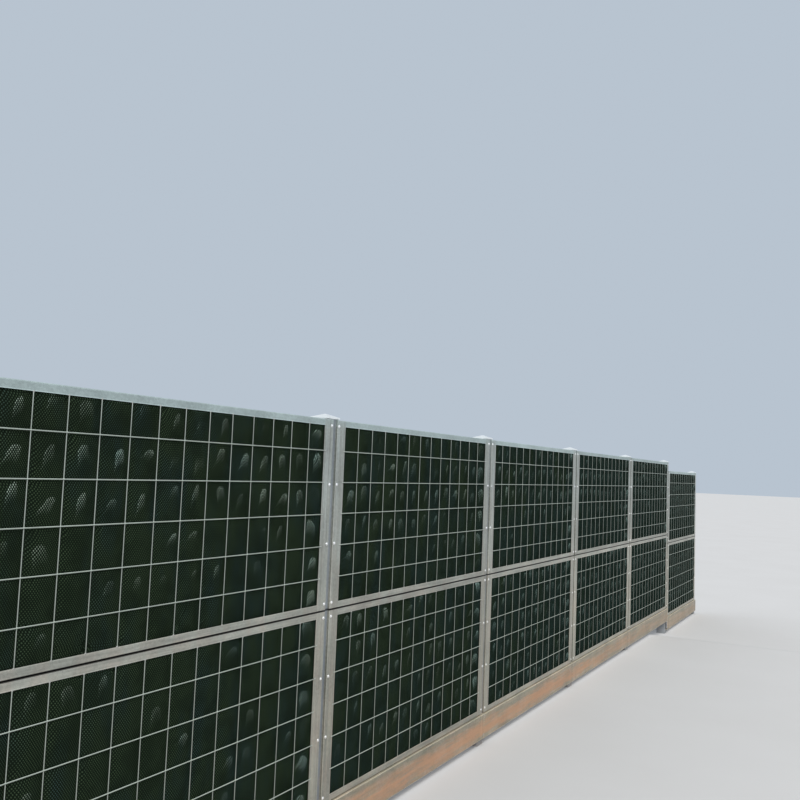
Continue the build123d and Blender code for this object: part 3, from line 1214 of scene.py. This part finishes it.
    def face(self, rng: np.random.Generator) -> np.ndarray:
        """Works out one face: the swollen net, turned one of four ways, with hollows and bulges of its own.

        Args:
            rng: source of the draws.

        Returns:
            Each sample's sideways, outward and upward shift, shape (rows, columns, 3).
        """
        shift = self.moved[rng.integers(2)].copy()
        if rng.integers(2):
            shift = shift[:, ::-1] * np.array([-1.0, 1.0, 1.0])
        if rng.integers(2):
            shift = shift[::-1] * np.array([1.0, 1.0, -1.0])
        out = shift[..., 1] - self.start - self.drawn_back + self.bulges(rng)
        shift[..., 1] = np.minimum(out - self.hollow * self.hollows(rng), self.ceiling())
        shift[..., [0, 2]] *= self.sideways
        return shift

    def chance(self, bay: int, tier: Tier) -> np.ndarray:
        """Works out how likely the wool presses on the net.

        In the upper cassettes it is likeliest just above the fourth cross wire. In the lower ones it
        grows along the row and a little with height. In the last column it is sure.

        Args:
            bay: the bay, from 0.
            tier: the cassette.

        Returns:
            The chance at each sample, from 0 to 1.
        """
        if tier is Tier.UPPER:
            chance = np.exp(-((self.v - 4.2) / np.where(self.v > 4.2, 1.7, 2.4)) ** 2)
        else:
            chance = np.clip(0.12 + 0.25 * bay + 0.05 * self.v, 0, 0.8)
        return np.where(self.u > self.cells_across - 1, 1.0, chance)

    def build(self, bay: int, tier: Tier, material: bpy.types.Material) -> bpy.types.Object:
        """The attribute cell holds the cell coordinates and the chance that the wool presses there. Ten
        rows of numbers are kept for each face, so that no two faces share their cells' numbers.

        Args:
            bay: the bay, from 0.
            tier: the cassette.
            material: the net's finish.

        Returns:
            The finished piece.
        """
        node = f"{tier.value}_core_{bay + 1}"
        low, high = (np.array(corner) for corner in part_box(node))
        number = 2 * bay + (tier is Tier.UPPER)
        rng = np.random.default_rng(self.seed + number)
        shifts = np.stack([self.face(rng), self.face(rng)])
        points = self.surface(shifts[..., 1]) + shifts * np.array([1.0, 0.0, 1.0]) + (low + high) / 2
        chance = self.chance(bay, tier)
        cells = np.stack([places(self.u, self.v + 10.0 * (2 * number + face), chance) for face in range(2)])
        shell = Shells()
        shell.add(points, self.faces())
        piece = shell.make(f"{tier.value}_wool_core_{bay + 1}", material)
        cell = piece.data.attributes.new("cell", "FLOAT_VECTOR", "POINT")
        cell.data.foreach_set("vector", cells.reshape(-1).astype(np.float32))
        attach(piece, "root")
        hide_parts(node)
        return piece


@dataclass
class Fasteners:
    """The screws of the side flanges and the bolts of the plinths.

    Attributes:
        from_post: distance of the flange screws from the post's middle.
        from_edge: distance of the outer screws from the cassette's edges.
        per_flange: screws in a flange.
        screw: profile of a dome-headed screw on its washer.
        bolt_top: the plinth's upper bolt, from the post's middle and under the plinth's top.
        bolt_foot: the plinth's lower bolt, from the post's middle and over the plinth's foot.
        end_inset: distance of the end posts' bolts from their middle.
        bolt: profile of a flat-headed bolt on its broad washer.
    """

    from_post: float = 0.0325
    from_edge: float = 0.030
    per_flange: int = 4
    screw: Pairs = (
        (0.0080, -0.0006), (0.0080, 0.0008), (0.0074, 0.0011), (0.0062, 0.0012), (0.0061, 0.0026),
        (0.0050, 0.0044), (0.0027, 0.0055), (0.0, 0.0057))
    bolt_top: tuple[float, float] = (0.016, 0.014)
    bolt_foot: tuple[float, float] = (0.0, 0.022)
    end_inset: float = 0.022
    bolt: Pairs = (
        (0.0110, -0.0005), (0.0110, 0.0002), (0.0104, 0.0003), (0.0066, 0.0003), (0.0065, 0.0005),
        (0.0052, 0.0006), (0.0025, 0.0007), (0.0, 0.0007))

    def flange_screws(self, material: bpy.types.Material) -> bpy.types.Object:
        """Makes the dome-headed screws with their washers on the side flanges.

        Args:
            material: their finish.

        Returns:
            The finished piece.
        """
        rows = np.linspace(self.from_edge, LAYOUT.panel_height - self.from_edge, self.per_flange)
        rows = rows - LAYOUT.panel_height / 2
        side = LAYOUT.bay_pitch / 2 - self.from_post
        at = [(LAYOUT.bay_x(bay) + way * side, LAYOUT.flange_face, LAYOUT.panel_z(bay, tier) + row)
              for bay in range(LAYOUT.bays) for tier in Tier for way in (-1, 1) for row in rows]
        return self.fit("flange_screws", at, self.screw, material)

    def plinth_bolts(self, material: bpy.types.Material) -> bpy.types.Object:
        """Makes the flat-headed bolts with broad washers on the plinths' ends.

        Args:
            material: their finish.

        Returns:
            The finished piece.
        """
        at = []
        top = (self.bolt_top[0], LAYOUT.plinth_height - self.bolt_top[1])
        for post in range(LAYOUT.bays + 1):
            inward = (post == 0) - (post == LAYOUT.bays)
            foot = LAYOUT.post_ground(post) + LAYOUT.ground_gap
            for aside, height in (top, self.bolt_foot):
                shift = inward * self.end_inset if inward else aside
                at.append((LAYOUT.post_x(post) + shift, LAYOUT.plinth_face, foot + height))
        return self.fit("plinth_bolts", at, self.bolt, material)

    def fit(self, name: str, at: list[Triple], profile: Pairs,
            material: bpy.types.Material) -> bpy.types.Object:
        """Makes all heads of one kind as a piece and fixes it to the barrier.

        Args:
            name: name of the piece.
            at: places on the carrying face.
            profile: the head's profile.
            material: its finish.

        Returns:
            The finished piece.
        """
        heads = Shells()
        heads.add_rings(*turned(np.array(at), profile))
        piece = heads.make(name, material)
        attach(piece, "root")
        return piece


ZINCS = {
    "post": ZincFinish("post zinc", high=(0.335, 0.375, 0.395), low=(0.295, 0.325, 0.345),
                       stain=(0.20, 0.22, 0.24), mottle=0.45, streaks=0.6, tinted=0.1, edge_highlight=0.3),
    "cap": ZincFinish("cap zinc", high=(0.82, 0.86, 0.87), low=(0.82, 0.86, 0.87), streaks=0.0, tinted=0.0,
                      dust_and_reflection_share=0.05, edge_highlight=0.2, metallic=0.2, roughness=0.42),
    "sheet": ZincFinish("frame zinc", high=(0.44, 0.485, 0.46), low=(0.415, 0.40, 0.325),
                        top=(0.415, 0.50, 0.49), stain=(0.26, 0.27, 0.235), mottle=0.62, streaks=0.65,
                        dust_and_reflection_share=0.12, reach=0.35, edge_highlight=0.55, side_shade=0.32, piece_tone=0.28),
    # The plinths' orange band about 0.108 m up is a painted reflection of an orange hose on the ground.
    "plinth": ZincFinish("plinth zinc", high=(0.38, 0.32, 0.225), low=(0.38, 0.32, 0.225),
                         dust=(0.60, 0.305, 0.165), mottle=0.80, dust_and_reflection_share=0.66, middle=0.108, reach=0.11,
                         ledge=0.0, streaks=0.7, edge_highlight=1.2, gap_shade=0.0, upward_light=0.7, piece_tone=0.16),
    "wire": ZincFinish("wire zinc", high=(0.425, 0.475, 0.425), low=(0.385, 0.425, 0.37), streaks=0.0,
                       mottle=0.3, upward_light=1.3, side_shade=0.65, tinted=0.0, dust_and_reflection_share=0.15, edge_highlight=0.0,
                       roughness=0.45, crystal_scale=140.0),
    "weld": ZincFinish("weld zinc", high=(0.46, 0.47, 0.45), low=(0.42, 0.41, 0.37), streaks=0.0, mottle=0.6,
                       tinted=0.0, dust_and_reflection_share=0.2, edge_highlight=0.0, roughness=0.6, crystal_scale=300.0),
    "screw": ZincFinish("screw zinc", high=(0.80, 0.81, 0.82), low=(0.78, 0.77, 0.74), streaks=0.0,
                        mottle=0.2, tinted=0.0, dust_and_reflection_share=0.15, edge_highlight=0.2, metallic=0.6, roughness=0.3,
                        crystal_scale=200.0),
    "bolt": ZincFinish("bolt zinc", high=(0.30, 0.28, 0.24), low=(0.30, 0.28, 0.24), streaks=0.0, mottle=0.3,
                       tinted=0.0, dust_and_reflection_share=0.3, edge_highlight=0.3, roughness=0.5, crystal_scale=200.0),
}


@dataclass
class Steelwork:
    """The posts, caps, cassette frames and plinths, whose CAD meshes are dressed.

    Attributes:
        zincs: the finished materials, by the names in ZINCS.
    """

    zincs: dict[str, bpy.types.Material]

    def dress(self) -> None:
        """Gives each CAD part its weathered zinc."""
        finishes = {"post_caps": "cap"}
        for bay in range(1, LAYOUT.bays + 1):
            finishes.update({f"{tier.value}_frame_{bay}": "sheet" for tier in Tier})
            finishes[f"plinth_{bay}"] = "plinth"
        for number in range(1, LAYOUT.bays + 2):
            finishes[f"post_{number}"] = "post"
        for node, finish in finishes.items():
            for slot in bpy.data.objects[node].material_slots:
                slot.material = self.zincs[finish]
        LOG.info("dressed %d CAD nodes", len(finishes))


@dataclass
class Studio:
    """The floor, the backdrop, the soft light and the camera.

    Attributes:
        eye: place of the camera.
        heading: way that the camera looks, in degrees from +X towards +Y.
        pitch: how far it looks up, in degrees.
        roll: how far its right side is raised, in degrees.
        focal: focal length in widths of the picture.
        floor_reach: half size of the floor.
        floor_drop: where the floor starts and ends to step down, before the last but one post.
        floor_gap: how far the floor lies under the feet.
        sun_turn: turn of the sun about X and Z, in degrees.
        sun_spread: its apparent size, in degrees.
        sun_strength: its strength.
        sun_colour: its colour.
        floor_tones: the two colours of the floor's soft patches.
        sky_light: colour of the light from the sky.
        sky_seen: colour of the sky as a backdrop.
    """

    eye: Triple = (-7.5154, -2.3458, 1.7809)
    heading: float = 28.3278
    pitch: float = 4.5401
    roll: float = 2.2554
    focal: float = 1.1043
    floor_reach: float = 150.0
    floor_drop: tuple[float, float] = (0.95, 0.15)
    floor_gap: float = 0.0003
    sun_turn: tuple[float, float] = (47.0, -55.0)
    sun_spread: float = 25.0
    sun_strength: float = 2.05
    sun_colour: RGB = (1.0, 0.985, 0.96)
    floor_tones: tuple[RGB, RGB] = ((0.70, 0.69, 0.67), (0.76, 0.755, 0.74))
    sky_light: RGB = (0.50, 0.53, 0.58)
    sky_seen: RGB = (0.48, 0.55, 0.63)

    def camera(self) -> None:
        """Makes the camera at the photograph's place and turn."""
        data = bpy.data.cameras.new("camera")
        data.sensor_width = 36.0
        data.lens = self.focal * data.sensor_width
        data.clip_end = 500.0
        camera = bpy.data.objects.new("camera", data)
        turn = (Matrix.Rotation(math.radians(self.heading - 90.0), 4, "Z")
                @ Matrix.Rotation(math.radians(self.pitch + 90.0), 4, "X")
                @ Matrix.Rotation(math.radians(self.roll), 4, "Z"))
        camera.matrix_world = Matrix.Translation(self.eye) @ turn
        bpy.context.scene.collection.objects.link(camera)
        bpy.context.scene.camera = camera

    def floor(self) -> None:
        """Makes the floor: level, then a smooth step down under the lower ground's bay.

        Its height is -step s^2 (3 - 2 s), where s runs from 0 to 1 before the last but one post.
        """
        foot = LAYOUT.post_x(LAYOUT.bays_before_step)
        first, last = (foot - before for before in self.floor_drop)
        x = np.concatenate([[-self.floor_reach], np.linspace(first, last, 24), [self.floor_reach]])
        s = np.clip((x - first) / (last - first), 0, 1)
        z = -LAYOUT.step_down * s * s * (3 - 2 * s) - self.floor_gap
        points = np.stack([places(x, y, z) for y in (-self.floor_reach, self.floor_reach)])
        i = np.arange(len(x) - 1)
        faces = np.stack([i, i + 1, i + 1 + len(x), i + len(x)], axis=-1)
        n = Surface("pale floor")
        pale = n.shade(Base_Color=n.mix(n.noise(n.at, 0.8, 4.0), *self.floor_tones), Roughness=0.9)
        shells = Shells()
        shells.add(points, faces.tolist())
        shells.make("floor", pale)

    def light(self) -> None:
        """Makes one broad soft sun and a pale sky that camera and gloss see as the backdrop."""
        sun = bpy.data.lights.new("softbox", "SUN")
        sun.energy = self.sun_strength
        sun.angle = math.radians(self.sun_spread)
        sun.color = self.sun_colour
        lamp = bpy.data.objects.new("softbox", sun)
        tilt, turn = (math.radians(angle) for angle in self.sun_turn)
        lamp.rotation_euler = (tilt, 0.0, turn)
        bpy.context.scene.collection.objects.link(lamp)
        world = bpy.data.worlds.new("pale sky")
        world.use_nodes = True
        bpy.context.scene.world = world
        n = Nodes(world.node_tree)
        ray = n.add("LightPath", out="Is Camera Ray")
        seen = n.math("MAXIMUM", ray, ray.other("Is Glossy Ray"))
        n.fill(n.tree.nodes["Background"], Color=n.mix(seen, self.sky_light, self.sky_seen), Strength=1.0)


def main() -> None:
    """Builds the studio, then the barrier piece by piece."""
    logging.basicConfig(level=logging.INFO, format="%(name)s: %(message)s")
    bpy.context.scene.view_settings.view_transform = "Standard"
    studio = Studio()
    studio.camera()
    studio.floor()
    studio.light()
    grids, fasteners = WireGrids(), Fasteners()
    hoods = Hoods(grids.upright_pitch, grids.cross_pitch, WoolCores.cells_across)
    effects = {"mottling": mottling_effect(), "weather_and_seam_shade": weather_and_seam_shade_effect(), "edges": edge_highlight_and_gap_shade_effect(),
               "dust": dust_and_reflection_effect(), "net": net_effect(), "press_and_sunlight": hoods.effect()}
    zincs = {name: finish.material(effects) for name, finish in ZINCS.items()}
    net = NetFinish().material(effects)
    Steelwork(zincs).dress()
    cores = WoolCores(grids)
    pieces = []
    for bay in range(LAYOUT.bays):
        pieces += [cores.build(bay, tier, net) for tier in Tier]
        pieces += grids.build(bay, zincs["wire"], zincs["weld"])
    pieces += [fasteners.flange_screws(zincs["screw"]), fasteners.plinth_bolts(zincs["bolt"])]
    for piece in pieces:
        LOG.info("%s: %d faces", piece.name, len(piece.data.polygons))


if __name__ == "__main__":
    main()
